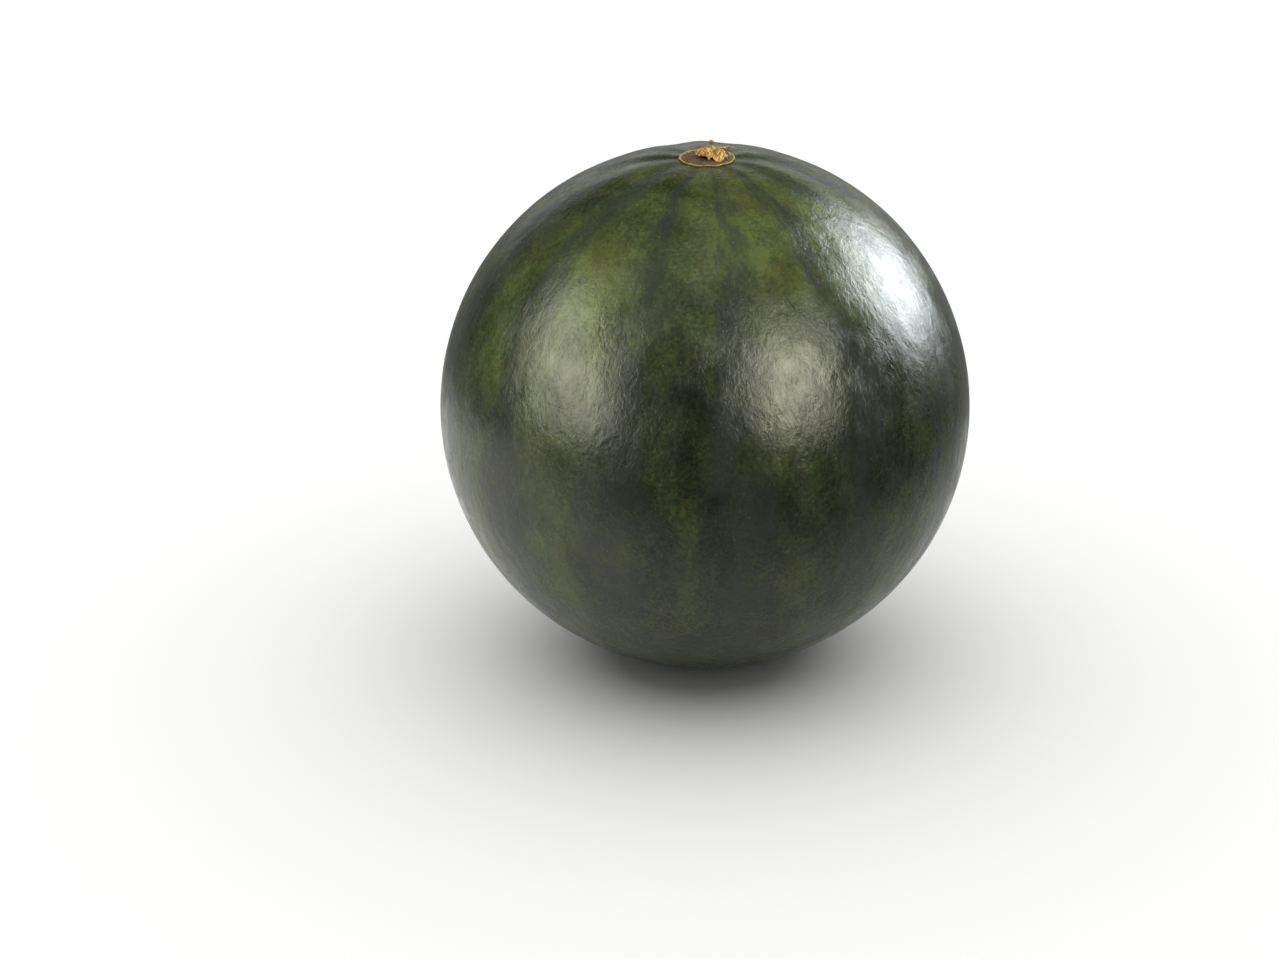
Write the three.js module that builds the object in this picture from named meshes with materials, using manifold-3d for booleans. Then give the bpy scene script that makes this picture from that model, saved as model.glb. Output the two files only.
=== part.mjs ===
// A whole round watermelon standing on its blossom end, with the dried end of its stalk on top.
// Millimetres, +Z up through the stalk. The origin is the centre of the flat spot it rests on.
import * as THREE from 'three';
import { mergeVertices } from 'three/addons/utils/BufferGeometryUtils.js';
import Module from 'manifold-3d';

// Fruit
const fruitDiameter = 230;
const fruitHeight = 227; // from the resting spot to the crown, before the stalk hollow is pressed in
const restDiameter = 48; // the flat spot under the blossom end
const blossomDiameter = 11; // the dimple left by the flower
const blossomDepth = 1.1;
const hollowDepth = 2.6; // the shallow hollow round the stalk
const hollowSpread = 34; // its width where it is still a third of its depth
const lobeCount = 10;
const grooveDepth = 1.1; // of the grooves between the lobes, at their deepest
const grooveDeepest = 34; // degrees from the crown
const grooveStart = 6; // how far from the pocket and the resting spot they reach their full depth
const ovality = 0.5; // the widest radius less the narrowest

// Corky plate where the stalk joined
const scarDiameter = 24;
const scarSink = 1.6; // how deep the plate is set in the rind
const scarStand = 0.3; // how far its face stands above the rind beside it
const lipWidth = 1.1;
const lipHeight = 0.5;

// Torn end of the stalk
const coreHeight = 7.4;
const coreTipDiameter = 2.2;
const coreFootDiameter = 7;
const coreOffset = 1.8; // towards +X from the middle of the plate
const coreLean = 4; // degrees
const huskWidth = 14;
const huskDepth = 8;
const huskHeight = 4.3;
const huskOffset = 2.6; // towards +X
const huskForward = 1.4; // towards -Y, the front
const huskLean = 0.5; // how far the crest leans forward, as a share of its height
const twigLength = 6;
const twigDiameter = 1.3;
const twigStart = 2.4; // above the plate
const twigTurn = 20; // degrees behind +X
const twigRise = 24; // degrees above level

// Fit and fineness
const clearance = 0.3; // between pieces that touch
const turnSteps = 72;
const flankSteps = 30;
const dimpleSteps = 3;
const stalkSteps = 20;
const coreSteps = 7;

const radians = THREE.MathUtils.degToRad;

const restRadius = restDiameter / 2;
const halfWidth = fruitDiameter / 2;
const restShare = Math.sqrt(1 - (restRadius / halfWidth) ** 2);
const halfHeight = fruitHeight / (1 + restShare);
const middleHeight = halfHeight * restShare;
const scarRadius = scarDiameter / 2;
const pocketRadius = scarRadius + clearance;

// Height of the rind at a distance from the axis, on the upper half.
function crownHeight(distance) {
  const dome = halfHeight * Math.sqrt(1 - (distance / halfWidth) ** 2);
  const hollow = hollowDepth * Math.exp(-((distance / (hollowSpread / 2)) ** 2));
  return middleHeight + dome - hollow;
}

// The plate's pocket ends at the rind, and the plate's face stands a little above it.
const pocketTop = crownHeight(pocketRadius);
const pocketFloor = pocketTop - scarSink;
const scarFace = pocketTop + scarStand;

// Turns an outline of [radius, height] points about Z, from its lower end on the axis to its upper.
function turned(outline, steps) {
  const points = outline.map(([radius, height]) => new THREE.Vector2(radius, height));
  return new THREE.LatheGeometry(points, steps).rotateX(Math.PI / 2);
}

// Moves every corner of a geometry by a function that changes a vector in place.
function reshaped(geometry, change) {
  const corners = geometry.attributes.position;
  const corner = new THREE.Vector3();
  for (let i = 0; i < corners.count; i++) {
    corner.fromBufferAttribute(corners, i);
    change(corner);
    corners.setXYZ(i, corner.x, corner.y, corner.z);
  }
  return geometry;
}

// How far the rind sinks between its lobes. They are uneven, but the same on opposite sides.
function sunk(turn, fromCrown) {
  const wave = 0.6 * Math.cos(lobeCount * turn) + 0.4 * Math.cos((lobeCount - 4) * turn);
  const reach = fromCrown / radians(grooveDeepest);
  return grooveDepth * reach * Math.exp(1 - reach) * (1 - wave) / 2;
}

// The fruit's outline: blossom dimple, resting spot, round flank, stalk hollow and the plate's pocket.
function fruitOutline() {
  const outline = [];
  for (let i = 0; i <= dimpleSteps; i++) {
    const share = i / dimpleSteps;
    outline.push([share * blossomDiameter / 2, blossomDepth * (1 - share ** 2)]);
  }
  const lowest = -Math.asin(restShare);
  const highest = Math.acos(pocketRadius / halfWidth);
  for (let i = 0; i <= flankSteps; i++) {
    const rise = lowest + (highest - lowest) * i / flankSteps;
    const radius = halfWidth * Math.cos(rise);
    const height = rise > 0 ? crownHeight(radius) : middleHeight + halfHeight * Math.sin(rise);
    outline.push([radius, height]);
  }
  outline.push([pocketRadius, pocketFloor], [0, pocketFloor]);
  return outline;
}

// The resting spot, the dimple and the pocket stay round and level; the rind between them is lobed.
function fruitGeometry() {
  return reshaped(turned(fruitOutline(), turnSteps), (corner) => {
    const radius = Math.hypot(corner.x, corner.y);
    const inner = corner.z > middleHeight ? pocketRadius : restRadius;
    if (radius <= inner) return;
    const turn = Math.atan2(corner.y, corner.x);
    const fromCrown = Math.atan2(radius, corner.z - middleHeight);
    const narrowed = ovality * (1 - Math.cos(2 * turn)) / 2;
    const grown = Math.min(1, (radius - inner) / grooveStart);
    const inward = grown * (narrowed + sunk(turn, fromCrown));
    const scale = 1 - inward / Math.hypot(radius, corner.z - middleHeight);
    corner.z = middleHeight + (corner.z - middleHeight) * scale;
    corner.x *= scale;
    corner.y *= scale;
  });
}

// The plate: a cork disc with a raised lip, let into its pocket.
function scarGeometry() {
  const foot = pocketFloor + clearance;
  const lipTop = scarFace + lipHeight;
  return turned([
    [0, foot],
    [scarRadius - clearance, foot],
    [scarRadius, foot + clearance],
    [scarRadius, lipTop - lipHeight / 2],
    [scarRadius - lipWidth / 4, lipTop],
    [scarRadius - lipWidth / 2, lipTop],
    [scarRadius - lipWidth, scarFace],
    [0, scarFace],
  ], turnSteps);
}

const wasm = await Module();
wasm.setup();

// A closed geometry as a solid that can be joined.
function solid(geometry) {
  const bare = geometry.clone();
  bare.deleteAttribute('normal');
  bare.deleteAttribute('uv');
  const merged = mergeVertices(bare);
  return new wasm.Manifold(new wasm.Mesh({
    numProp: 3,
    vertProperties: new Float32Array(merged.attributes.position.array),
    triVerts: new Uint32Array(merged.index.array),
  }));
}

function geometryOf(joined) {
  const { vertProperties, triVerts } = joined.getMesh();
  const geometry = new THREE.BufferGeometry();
  geometry.setAttribute('position', new THREE.BufferAttribute(new Float32Array(vertProperties), 3));
  geometry.setIndex(new THREE.BufferAttribute(new Uint32Array(triVerts), 1));
  geometry.computeVertexNormals();
  return geometry;
}

// The green core of the stalk: a wide foot that narrows quickly to a thin broken shaft.
function coreGeometry() {
  const tipRadius = coreTipDiameter / 2;
  const footRadius = coreFootDiameter / 2;
  const outline = [[0, 0], [footRadius, 0]];
  for (let i = 1; i <= coreSteps; i++) {
    const share = i / coreSteps;
    const radius = tipRadius + (footRadius - tipRadius) * (1 - share) ** 3;
    outline.push([radius, share * (coreHeight - tipRadius / 2)]);
  }
  outline.push([tipRadius / 2, coreHeight], [0, coreHeight]);
  const lean = Math.tan(radians(coreLean));
  return reshaped(turned(outline, stalkSteps), (corner) => {
    corner.x += coreOffset - corner.z * lean;
  });
}

// The dry husk torn down in front of the core: a mound of unit size, stretched, its crest uneven.
function huskGeometry() {
  const outline = [[0, 0], [0.94, 0], [1, 0.12], [0.93, 0.45], [0.72, 0.8], [0.4, 1], [0, 1]];
  return reshaped(turned(outline, stalkSteps), (corner) => {
    const height = corner.z * huskHeight * (0.9 + 0.1 * Math.sin(3 * corner.x));
    corner.x = corner.x * huskWidth / 2 + huskOffset;
    corner.y = corner.y * huskDepth / 2 - huskForward - corner.z * huskLean;
    corner.z = height;
  });
}

// The side twig: a short dry shoot that starts inside the core and points right.
function twigGeometry() {
  const radius = twigDiameter / 2;
  const outline = [
    [0, 0],
    [radius, 0],
    [radius * 0.8, twigLength * 0.6],
    [radius * 0.9, twigLength * 0.94],
    [radius * 0.5, twigLength],
    [0, twigLength],
  ];
  return turned(outline, stalkSteps)
    .rotateY(Math.PI / 2 - radians(twigRise))
    .rotateZ(radians(twigTurn))
    .translate(coreOffset + coreTipDiameter / 2, 0, twigStart);
}

function stubGeometry() {
  const joined = solid(huskGeometry()).add(solid(coreGeometry())).add(solid(twigGeometry()));
  return geometryOf(joined).translate(0, 0, scarFace + clearance);
}

function piece(name, geometry, colour, roughness) {
  const material = new THREE.MeshStandardMaterial({ color: colour, roughness, metalness: 0 });
  const mesh = new THREE.Mesh(geometry, material);
  mesh.name = name;
  return mesh;
}

const watermelon = new THREE.Group();
watermelon.name = 'watermelon';
watermelon.add(
  piece('fruit', fruitGeometry(), 0x363b2a, 0.3),
  piece('stem_scar', scarGeometry(), 0x4a2f22, 0.85),
  piece('stem_stub', stubGeometry(), 0xa0703c, 0.8),
);

export default watermelon;
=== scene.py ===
import bpy, bmesh, math
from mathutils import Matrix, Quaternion, Vector, noise
from mathutils.bvhtree import BVHTree


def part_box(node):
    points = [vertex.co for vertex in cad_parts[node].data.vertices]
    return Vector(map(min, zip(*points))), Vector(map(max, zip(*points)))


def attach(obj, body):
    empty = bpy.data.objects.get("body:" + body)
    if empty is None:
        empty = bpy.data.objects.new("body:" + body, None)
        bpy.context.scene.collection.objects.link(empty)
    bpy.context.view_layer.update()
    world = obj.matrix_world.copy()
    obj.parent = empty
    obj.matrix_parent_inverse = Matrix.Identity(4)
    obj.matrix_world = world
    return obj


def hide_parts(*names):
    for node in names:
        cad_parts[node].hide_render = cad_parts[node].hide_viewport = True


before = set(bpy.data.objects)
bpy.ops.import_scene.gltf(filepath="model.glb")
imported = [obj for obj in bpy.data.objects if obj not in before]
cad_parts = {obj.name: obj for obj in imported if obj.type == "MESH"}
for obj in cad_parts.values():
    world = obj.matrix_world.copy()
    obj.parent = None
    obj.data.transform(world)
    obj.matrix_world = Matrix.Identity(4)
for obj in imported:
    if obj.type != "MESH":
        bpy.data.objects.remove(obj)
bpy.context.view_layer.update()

scene = bpy.context.scene


# ---------------------------------------------------------------------------------------------
# Studio: a white table top with no edge in sight, three soft boxes and the pale wall behind.
# The camera stands in front at 22 degrees above the melon's middle, with a long lens.
# ---------------------------------------------------------------------------------------------

def linear(code):
    """An sRGB hex colour as linear RGBA."""
    parts = [int(code[i:i + 2], 16) / 255 for i in (1, 3, 5)]
    return [c / 12.92 if c <= 0.04045 else ((c + 0.055) / 1.055) ** 2.4 for c in parts] + [1.0]


def feed(tree, value, socket):
    """Sets or links an input. A node given as the value stands for its first open output."""
    if isinstance(value, bpy.types.Node):
        value = next(s for s in value.outputs if s.enabled)
    if isinstance(value, bpy.types.NodeSocket):
        tree.links.new(value, socket)
    else:
        socket.default_value = value


def add(tree, kind, *values, into=None, **settings):
    """A node with its settings. values go to its open inputs in order, and into names others."""
    node = tree.nodes.new(kind)
    for name, value in settings.items():
        setattr(node, name, value)
    sockets = [s for s in node.inputs if s.enabled]
    for socket, value in zip(sockets, values):
        feed(tree, value, socket)
    for name, value in (into or {}).items():
        feed(tree, value, next(s for s in sockets if s.name == name))
    return node


def finish_of(name, slot_roughness=0.5):
    """An empty material with its node tree, Principled shader and object coordinates."""
    material = bpy.data.materials.new(name)
    material.use_nodes = True
    tree = material.node_tree
    tree.nodes.clear()
    shader = add(tree, "ShaderNodeBsdfPrincipled", into={"Roughness": slot_roughness})
    add(tree, "ShaderNodeOutputMaterial", shader)
    where = add(tree, "ShaderNodeTexCoord").outputs["Object"]
    return material, tree, shader, where


# The melon's middle is where it is widest. The table lies a hair under the melon's foot, so that
# the two faces don't meet.
MIDDLE = Vector((0, 0, 0.1122))
FLOOR_RADIUS, FLOOR_DROP = 9.0, 0.0002

scene.view_settings.view_transform = "Standard"
scene.view_settings.look = "None"

floor_mesh = bpy.data.meshes.new("studio_floor")
floor_bm = bmesh.new()
bmesh.ops.create_circle(floor_bm, cap_ends=True, segments=96, radius=FLOOR_RADIUS)
floor_bm.to_mesh(floor_mesh)
floor = bpy.data.objects.new("studio_floor", floor_mesh)
floor.location.z = -FLOOR_DROP
scene.collection.objects.link(floor)
paper, tree, shader, where = finish_of("white paper table", 0.9)
shader.inputs["Specular IOR Level"].default_value = 0.1
floor_mesh.materials.append(paper)

# Seen in the melon's gloss, the table is white only near the melon, mostly at its left. Past that
# it is grey behind and dark in front, as if under black cloth.
PAPER_PLACE, PAPER_TURN, PAPER_SIZE = (-0.28, 0.01, 0), math.radians(15), (0.64, 0.36, 1)
row = add(tree, "ShaderNodeSeparateXYZ", where)
past = add(tree, "ShaderNodeMapRange", row.outputs["Y"], 0.15, 0.45, 0.03, 0.2)
sheet = add(tree, "ShaderNodeMapping", where, PAPER_PLACE, (0, 0, PAPER_TURN), PAPER_SIZE,
            vector_type="TEXTURE")
far = add(tree, "ShaderNodeVectorMath", sheet, operation="LENGTH").outputs["Value"]
shown = add(tree, "ShaderNodeMapRange", far, 0.45, 1.25, 1.0, past, interpolation_type="SMOOTHSTEP")
path = add(tree, "ShaderNodeLightPath")
paper_light = add(tree, "ShaderNodeMix", path.outputs["Is Glossy Ray"], 1.0, shown, data_type="FLOAT")
white = add(tree, "ShaderNodeMix", paper_light, into={"A": (0, 0, 0, 1), "B": linear("#fafaf9")},
            data_type="RGBA")
feed(tree, white, shader.inputs["Base Color"])

# The room: the camera sees plain white, and the gloss sees a dark studio with a pale wall behind
# the table. A soft fill comes from all round.
WALL_LIGHT, ROOM_LIGHT, FILL_LIGHT = 0.65, 0.015, 0.3
room = bpy.data.worlds.new("studio")
room.use_nodes = True
tree = room.node_tree
tree.nodes.clear()
way = add(tree, "ShaderNodeSeparateXYZ", add(tree, "ShaderNodeTexCoord").outputs["Generated"])
behind = add(tree, "ShaderNodeMapRange", way.outputs["Y"], 0.7, 1.0, 0.0, 1.0,
             interpolation_type="SMOOTHSTEP")
below = add(tree, "ShaderNodeMapRange", way.outputs["Z"], 0.6, 0.25, 0.0, 1.0,
            interpolation_type="SMOOTHSTEP")
wall = add(tree, "ShaderNodeMath", behind, below, operation="MULTIPLY")
gloss = add(tree, "ShaderNodeMapRange", wall, 0.0, 1.0, ROOM_LIGHT, WALL_LIGHT)
path = add(tree, "ShaderNodeLightPath")
level = add(tree, "ShaderNodeMix", path.outputs["Is Glossy Ray"], FILL_LIGHT, gloss, data_type="FLOAT")
seen = add(tree, "ShaderNodeMix", path.outputs["Is Camera Ray"], level, 1.0, data_type="FLOAT")
add(tree, "ShaderNodeOutputWorld", add(tree, "ShaderNodeBackground", (1, 1, 1, 1), seen))
scene.world = room

# Each lamp lights either the melon or the floor, so that the floor stays evenly white.
melon_pieces = bpy.data.collections.new("melon_pieces")
floor_only = bpy.data.collections.new("floor_only")
floor_only.objects.link(floor)


def lamp(name, kind, way, distance, power, receivers, colour="#ffffff", roll=0, **shape):
    """A lamp out of the camera's sight, in that direction from the melon's middle."""
    light = bpy.data.lights.new(name, kind)
    light.energy = power
    light.color = linear(colour)[:3]
    for setting, value in shape.items():
        setattr(light, setting, value)
    made = bpy.data.objects.new(name, light)
    made.location = MIDDLE + Vector(way).normalized() * distance
    facing = (MIDDLE - made.location).to_track_quat("-Z", "Y")
    made.rotation_euler = (facing @ Quaternion((0, 0, 1), math.radians(roll))).to_euler()
    made.visible_camera = False
    made.light_linking.receiver_collection = receivers
    scene.collection.objects.link(made)
    return made


# Three soft boxes that show only in the gloss. Each has its bulb off centre, so that its cloth is
# brightest at (across, up) and falls off softly from there.
BOX_DISTANCE = 1.8
for name, way, roll, size, power, colour, bulb, glow_size in (
    ("left_box", (-0.865, -0.270, 0.424), -40, (2.8, 1.25), 102, "#fffde6", (0.58, 0.6), (0.6, 0.8)),
    ("middle_box", (0.490, -0.656, 0.573), -20, (1.6, 1.9), 124, "#fffbe6", (0.68, 0.4), (0.6, 0.62)),
    ("right_box", (0.75, 0.53, 0.385), 0, (2.0, 1.7), 240, "#f4faff", (0.43, 0.51), (0.5, 0.5)),
):
    box = lamp(name, "AREA", way, BOX_DISTANCE, power, melon_pieces, colour, roll,
               shape="RECTANGLE", size=size[0], size_y=size[1])
    box.visible_diffuse = False
    box.data.use_nodes = True
    tree = box.data.node_tree
    tree.nodes.clear()
    spot = add(tree, "ShaderNodeNewGeometry").outputs["Parametric"]
    off = add(tree, "ShaderNodeVectorMath", spot, (*bulb, 0), operation="SUBTRACT")
    off = add(tree, "ShaderNodeVectorMath", off, (*glow_size, 1), operation="DIVIDE")
    far = add(tree, "ShaderNodeVectorMath", off, operation="LENGTH").outputs["Value"]
    glow = add(tree, "ShaderNodeMapRange", far, 0.0, 1.0, 1.0, 0.0, interpolation_type="SMOOTHSTEP")
    add(tree, "ShaderNodeOutputLight", add(tree, "ShaderNodeEmission", (1, 1, 1, 1), glow))

# A broad light overhead that doesn't show in the gloss, and one for the table.
top_light = lamp("top_light", "AREA", (0.05, -0.25, 1.0), BOX_DISTANCE, 40, melon_pieces,
                 shape="RECTANGLE", size=2.0, size_y=2.0)
top_light.visible_glossy = False
lamp("floor_light", "SUN", (0.0, 0.2, 1.0), 2.0, 2.5, floor_only, angle=math.radians(110))

# The camera aims left of the melon's middle and below it, so that the melon stands a little right
# of the frame's middle and above it.
DISTANCE, ELEVATION = 1.38, math.radians(22)
AIM_LEFT, AIM_BELOW = 0.0284, 0.0326
camera = bpy.data.cameras.new("camera")
camera.lens = 88.9
camera.sensor_width = 36
viewer = bpy.data.objects.new("camera", camera)
scene.collection.objects.link(viewer)
back = Vector((0, -math.cos(ELEVATION), math.sin(ELEVATION)))
up = Vector((0, math.sin(ELEVATION), math.cos(ELEVATION)))
aim = MIDDLE - Vector((AIM_LEFT, 0, 0)) - up * AIM_BELOW
viewer.location = MIDDLE + back * DISTANCE
viewer.rotation_euler = (aim - viewer.location).to_track_quat("-Z", "Y").to_euler()
scene.camera = viewer


# ---------------------------------------------------------------------------------------------
# Rind: the melon's living skin, grown in one piece with the flesh. It is a near-round shell that
# sinks a little round the stalk and has soft grooves fading down its flank. It stands on a flat
# spot round the dimple that the flower left.
# ---------------------------------------------------------------------------------------------

rind_sizes = {
    "Width": 0.230,
    "Height": 0.227,
    "Rest Width": 0.048,
    "Rest Rounding": 0.0006,
    "Ovality": 0.0005,
    "Hollow Depth": 0.0024,
    "Hollow Spread": 0.034,
    "Groove Count": 10,
    "Groove Depth": 0.0011,
    "Groove Deepest": 13,
    "Swell": 0.0006,
    "Ripple": 0.00016,
    "Pocket Width": 0.0222,
    "Pocket Depth": 0.0016,
    "Pocket Slope": 0.0012,
    "Blossom Width": 0.011,
    "Blossom Depth": 0.0011,
}
RIND_CELLS = 128


def new_tree(name, sizes):
    """A Geometry Nodes tree with one named input for each size."""
    tree = bpy.data.node_groups.new(name, "GeometryNodeTree")
    tree.interface.new_socket("Geometry", in_out="OUTPUT", socket_type="NodeSocketGeometry")
    for size, value in sizes.items():
        socket = tree.interface.new_socket(size, in_out="INPUT", socket_type="NodeSocketFloat")
        socket.default_value = value
    return tree, add(tree, "NodeGroupInput").outputs


def end_tree(tree, shape, material):
    """Realizes a tree's shape, gives it its material and sends it out."""
    real = add(tree, "GeometryNodeRealizeInstances", shape)
    add(tree, "NodeGroupOutput", add(tree, "GeometryNodeSetMaterial", real, into={"Material": material}))


def piece_of(name, mesh):
    """A piece of the melon with this mesh, lit as the other pieces are."""
    piece = bpy.data.objects.new(name, mesh)
    scene.collection.objects.link(piece)
    melon_pieces.objects.link(piece)
    return piece


def grown(name, tree, sizes):
    """Runs a tree with these sizes and returns its result as a plain mesh object."""
    holder = bpy.data.objects.new(name + "_tree", bpy.data.meshes.new(name + "_tree"))
    scene.collection.objects.link(holder)
    run = holder.modifiers.new("grow", "NODES")
    run.node_group = tree
    for item in tree.interface.items_tree:
        if item.in_out == "INPUT":
            run[item.identifier] = float(sizes[item.name])
    result = holder.evaluated_get(bpy.context.evaluated_depsgraph_get())
    mesh = bpy.data.meshes.new_from_object(result)
    holder.modifiers.remove(run)
    bpy.data.objects.remove(holder)
    mesh.name = name
    return piece_of(name, mesh)


# Waxed rind: dense living skin under a thin natural wax. It is a smooth, fairly glossy
# dielectric, near-black green with olive clouding, fuzzy charcoal bands from stalk to blossom,
# and a fine leathery grain drawn out along those bands. Each pattern's scale is how many of its
# marks fit in the melon's radius of 115 mm, so 6 makes them 19 mm wide and 78 makes them 1.5 mm.
waxed_rind, tree, shader, where = finish_of("waxed rind")
BANDS = 13
out = add(tree, "ShaderNodeVectorMath", where, MIDDLE, operation="SUBTRACT")
unit = add(tree, "ShaderNodeVectorMath", out, operation="NORMALIZE")
axes = add(tree, "ShaderNodeSeparateXYZ", unit)
flat = add(tree, "ShaderNodeVectorMath", unit, (1, 1, 0), operation="MULTIPLY")
ring = add(tree, "ShaderNodeVectorMath", flat, operation="NORMALIZE")
turn = add(tree, "ShaderNodeMath", axes.outputs["Y"], axes.outputs["X"], operation="ARCTAN2")
fall = add(tree, "ShaderNodeMath", axes.outputs["Z"], operation="ARCCOSINE")


def along(tree, ring, fall, stretch):
    """Coordinates on the skin whose patterns come out this many times longer than wide."""
    rings = add(tree, "ShaderNodeVectorMath", ring, into={"Scale": stretch}, operation="SCALE")
    depth = add(tree, "ShaderNodeCombineXYZ", 0.0, 0.0, fall)
    return add(tree, "ShaderNodeVectorMath", rings, depth, operation="ADD")


# Clouding: moss-green patches 10 to 25 mm across over near-black green, made lighter toward some listed
# sides of the melon and darker toward others. Each side of it is (turn from the front, fall from the crown,
# spread, amount), in degrees, and a darker side's amount is below zero.
stretched = add(tree, "ShaderNodeVectorMath", unit, (1, 1, 0.65), operation="MULTIPLY")
cloud = add(tree, "ShaderNodeTexNoise", stretched,
            into={"Scale": 6.0, "Detail": 9.0, "Roughness": 0.66, "Distortion": 0.2})
fleck = add(tree, "ShaderNodeTexNoise", unit, into={"Scale": 75.0, "Detail": 2.0, "Roughness": 0.6})
mixed = add(tree, "ShaderNodeMath", fleck, 0.6, cloud, operation="MULTIPLY_ADD")
tinted = add(tree, "ShaderNodeMath", mixed, 1.45, -0.79, operation="MULTIPLY_ADD")
for side, drop, spread, amount in (
    (0, 32, 38, 0.38), (42, 30, 30, 0.16), (-45, 52, 28, 0.32), (-60, 102, 48, 0.3),
    (60, 112, 40, 0.18), (8, 72, 34, -0.08), (-34, 26, 20, -0.16), (42, 76, 22, -0.12),
    (120, 45, 50, 0.3), (-140, 60, 60, 0.25),
):
    side, drop = math.radians(side), math.radians(drop)
    toward = (math.sin(side) * math.sin(drop), -math.cos(side) * math.sin(drop), math.cos(drop))
    facing = add(tree, "ShaderNodeVectorMath", unit, toward, operation="DOT_PRODUCT").outputs["Value"]
    # lit is how much each listed side lightens the clouding, and it darkens it where the amount is below
    # zero.
    lit = add(tree, "ShaderNodeMapRange", facing, math.cos(math.radians(spread)), 1.0, 0.0, amount,
              interpolation_type="SMOOTHSTEP")
    tinted = add(tree, "ShaderNodeMath", tinted, lit, operation="ADD")
ground = add(tree, "ShaderNodeValToRGB", tinted)
ramp = ground.color_ramp
ramp.elements[0].position, ramp.elements[0].color = 0.05, linear("#1c1f12")
ramp.elements[1].position, ramp.elements[1].color = 1.0, linear("#566430")
for place, code in ((0.3, "#262d19"), (0.5, "#323c20"), (0.75, "#434f2a")):
    ramp.elements.new(place).color = linear(code)

# Ripening: brown-olive blushes 20 to 40 mm across, where the clouding is palest.
blush = add(tree, "ShaderNodeTexNoise", unit, into={"Scale": 3.6, "Detail": 6.0, "Roughness": 0.65})
blushed = add(tree, "ShaderNodeMapRange", blush, 0.47, 0.66, 0.0, 0.5)
ripe = add(tree, "ShaderNodeMapRange", tinted, 0.15, 0.75, 0.0, 1.0)
blushed = add(tree, "ShaderNodeMath", blushed, ripe, operation="MULTIPLY")
ground = add(tree, "ShaderNodeMix", blushed, into={"A": ground, "B": linear("#524a22")}, data_type="RGBA")

# Bands: about 13 round the melon, 55 mm apart at the widest, charcoal, fuzzy and broken.
wander = add(tree, "ShaderNodeTexNoise", unit, into={"Scale": 3.2, "Detail": 5.0, "Roughness": 0.62})
shift = add(tree, "ShaderNodeMath", wander, 1.0, -0.5, operation="MULTIPLY_ADD")
bent = add(tree, "ShaderNodeMath", shift, 0.5, turn, operation="MULTIPLY_ADD")
phase = add(tree, "ShaderNodeMath", bent, BANDS, -0.35, operation="MULTIPLY_ADD")
crest = add(tree, "ShaderNodeMath", phase, operation="COSINE")
ragged = add(tree, "ShaderNodeTexNoise", along(tree, ring, fall, 2.0),
             into={"Scale": 7.0, "Detail": 7.0, "Roughness": 0.7})
edge = add(tree, "ShaderNodeMath", ragged, 4.2, crest, operation="MULTIPLY_ADD")
band = add(tree, "ShaderNodeMapRange", edge, 1.7, 3.6, 0.0, 0.75, interpolation_type="SMOOTHSTEP")
banded = add(tree, "ShaderNodeMix", band, into={"A": ground, "B": linear("#2e332e")}, data_type="RGBA")

# Specks: pale pores about 3 mm apart, thickest where the clouding is palest. They are drawn up to 0.7 mm
# across, coarser than the real ones, so that they show.
pores = add(tree, "ShaderNodeTexVoronoi", unit, into={"Scale": 62.0, "Randomness": 1.0})
pick = add(tree, "ShaderNodeSeparateColor", pores.outputs["Color"])
pore_size = add(tree, "ShaderNodeMapRange", pick.outputs["Green"], 0.0, 1.0, 0.08, 0.2)
dot = add(tree, "ShaderNodeMapRange", pores.outputs["Distance"], pore_size, 0.03, 0.0, 0.7)
crowd = add(tree, "ShaderNodeMapRange", tinted, 0.2, 0.9, 0.9, 0.4)
some = add(tree, "ShaderNodeMath", pick, crowd, operation="GREATER_THAN")
speck = add(tree, "ShaderNodeMath", dot, some, operation="MULTIPLY")
specked = add(tree, "ShaderNodeMix", speck, into={"A": banded, "B": linear("#93823a")}, data_type="RGBA")
feed(tree, specked, shader.inputs["Base Color"])

# Relief: leathery wrinkles up to 1.5 mm apart over soft dents 8 mm wide. The wax is worn in patches
# about 13 mm across, which are more wrinkled and have a duller gloss.
worn = add(tree, "ShaderNodeTexNoise", stretched, into={"Scale": 9.0, "Detail": 5.0, "Roughness": 0.62})
bare = add(tree, "ShaderNodeMapRange", worn, 0.4, 0.6, 0.25, 1.0)
wrinkles = add(tree, "ShaderNodeTexNoise", stretched,
               into={"Scale": 78.0, "Detail": 3.0, "Roughness": 0.65, "Distortion": 1.2})
grain = add(tree, "ShaderNodeMath", wrinkles, bare, operation="MULTIPLY")
dents = add(tree, "ShaderNodeTexNoise", stretched,
            into={"Scale": 15.0, "Detail": 3.0, "Roughness": 0.6, "Distortion": 0.4})
relief = add(tree, "ShaderNodeBump", into={"Strength": 1.0, "Distance": 0.00017, "Height": grain})
relief = add(tree, "ShaderNodeBump",
             into={"Strength": 1.0, "Distance": 0.00036, "Height": dents, "Normal": relief})
feed(tree, relief, shader.inputs["Normal"])
dulled = add(tree, "ShaderNodeMapRange", worn, 0.38, 0.62, 0.19, 0.31)
feed(tree, dulled, shader.inputs["Roughness"])
shader.inputs["IOR"].default_value = 1.46

# The shape: a cube of even cells swelled to a ball, and the ball drawn out to the melon's width and
# height, with its foot pressed level at the resting spot.
tree, size = new_tree("rind shape", rind_sizes)
half_width = add(tree, "ShaderNodeMath", size["Width"], 0.5, operation="MULTIPLY")
rest_share = add(tree, "ShaderNodeMath", size["Rest Width"], size["Width"], operation="DIVIDE")
rest_fall = add(tree, "ShaderNodeMath", rest_share, operation="ARCSINE")
rest_cosine = add(tree, "ShaderNodeMath", rest_fall, operation="COSINE")
both = add(tree, "ShaderNodeMath", rest_cosine, 1.0, operation="ADD")
half_height = add(tree, "ShaderNodeMath", size["Height"], both, operation="DIVIDE")
middle = add(tree, "ShaderNodeMath", half_height, rest_cosine, operation="MULTIPLY")

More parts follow.
